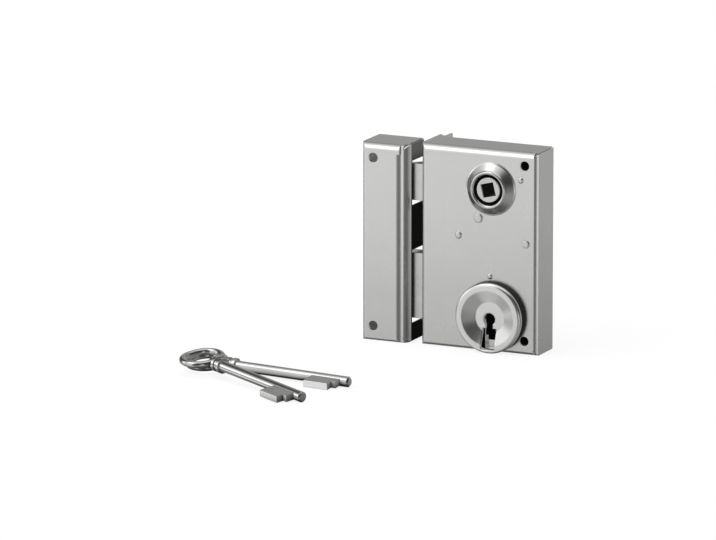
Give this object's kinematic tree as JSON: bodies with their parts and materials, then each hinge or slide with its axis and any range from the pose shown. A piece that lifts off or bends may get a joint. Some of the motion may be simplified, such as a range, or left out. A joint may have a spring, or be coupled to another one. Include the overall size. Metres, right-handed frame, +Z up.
{
  "type": "rim box lock",
  "caption": "Vertical rim lock in folded plated steel with a sprung latch, a key-thrown dead bolt, a dished key escutcheon, its box keep and its loose keys.",
  "frame": {"origin": "corner where the outer face of the forend, the plane of the door face and the underside of the lock meet", "axes": "+X from the forend across the lock to its right side, +Y towards the door, +Z up along the forend"},
  "size_m": [0.1491, 0.1755, 0.105],
  "materials": {
    "plated_sheet": "satin nickel plate",
    "pressed_disc": "bright nickel plate",
    "rivet_steel": "plated, riveted over",
    "bolt_steel": "tumbled and plated",
    "spring_steel": "oiled spring steel",
    "lever_brass": "stamped",
    "key_nickel": "bright nickel plate"
  },
  "bodies": {
    "lock_case": {"case": "plated_sheet", "back_cover": "plated_sheet", "key_escutcheon": "pressed_disc", "latch_spring_post": "rivet_steel", "lever_spring_post": "rivet_steel", "lever_pivot": "rivet_steel", "bolt_guide_stud": "rivet_steel", "follower_stop": "rivet_steel", "cover_screws": "rivet_steel", "lever_spacers": "rivet_steel", "spring_rod": "rivet_steel", "latch_spring": "spring_steel"},
    "follower": {"follower": "bolt_steel"},
    "latch": {"latch_bolt": "bolt_steel"},
    "dead_bolt": {"dead_bolt": "bolt_steel", "bolt_stump": "rivet_steel"},
    "front_lever": {"front_lever": "lever_brass", "front_lever_spring": "spring_steel"},
    "rear_lever": {"rear_lever": "lever_brass", "rear_lever_spring": "spring_steel"},
    "keep": {"keep": "plated_sheet"},
    "lower_key": {"lower_key": "key_nickel"},
    "upper_key": {"upper_key": "key_nickel"}
  },
  "joints": [
    {"name": "follower_turn", "type": "hinge", "parent": "lock_case", "child": "follower", "pos_m": [0.039, 0, 0.0845], "axis": [0, 1, 0], "range_deg": [0, 40]},
    {"name": "latch_slide", "type": "slide", "parent": "lock_case", "child": "latch", "axis": [1, 0, 0], "range_m": [0, 0.0105], "deforming": ["latch_spring"]},
    {"name": "dead_bolt_slide", "type": "slide", "parent": "lock_case", "child": "dead_bolt", "axis": [1, 0, 0], "range_m": [0, 0.012]},
    {"name": "front_lever_lift", "type": "hinge", "parent": "lock_case", "child": "front_lever", "pos_m": [0.0583, 0, 0.0576], "axis": [0, 1, 0], "range_deg": [0, 8], "deforming": ["front_lever_spring"]},
    {"name": "rear_lever_lift", "type": "hinge", "parent": "lock_case", "child": "rear_lever", "pos_m": [0.0583, 0, 0.0576], "axis": [0, 1, 0], "range_deg": [0, 8], "deforming": ["rear_lever_spring"]},
    {"name": "keep_slide", "type": "slide", "parent": "lock_case", "child": "keep", "axis": [-1, 0, 0], "range_m": [0, 0.02]},
    {"name": "lower_key_slide", "type": "slide", "parent": "lock_case", "child": "lower_key", "axis": [0, -1, 0], "range_m": [0, 0.02]},
    {"name": "upper_key_lift", "type": "slide", "parent": "lower_key", "child": "upper_key", "axis": [0, 0, 1], "range_m": [0, 0.02]}
  ],
  "couplings": [
    {"joint": "latch_slide", "follows": "follower_turn", "m_per_rad": 0.01504},
    {"joint": "front_lever_lift", "follows": "dead_bolt_slide", "rad_per_m": 11.636},
    {"joint": "rear_lever_lift", "follows": "dead_bolt_slide", "rad_per_m": 11.636}
  ]
}
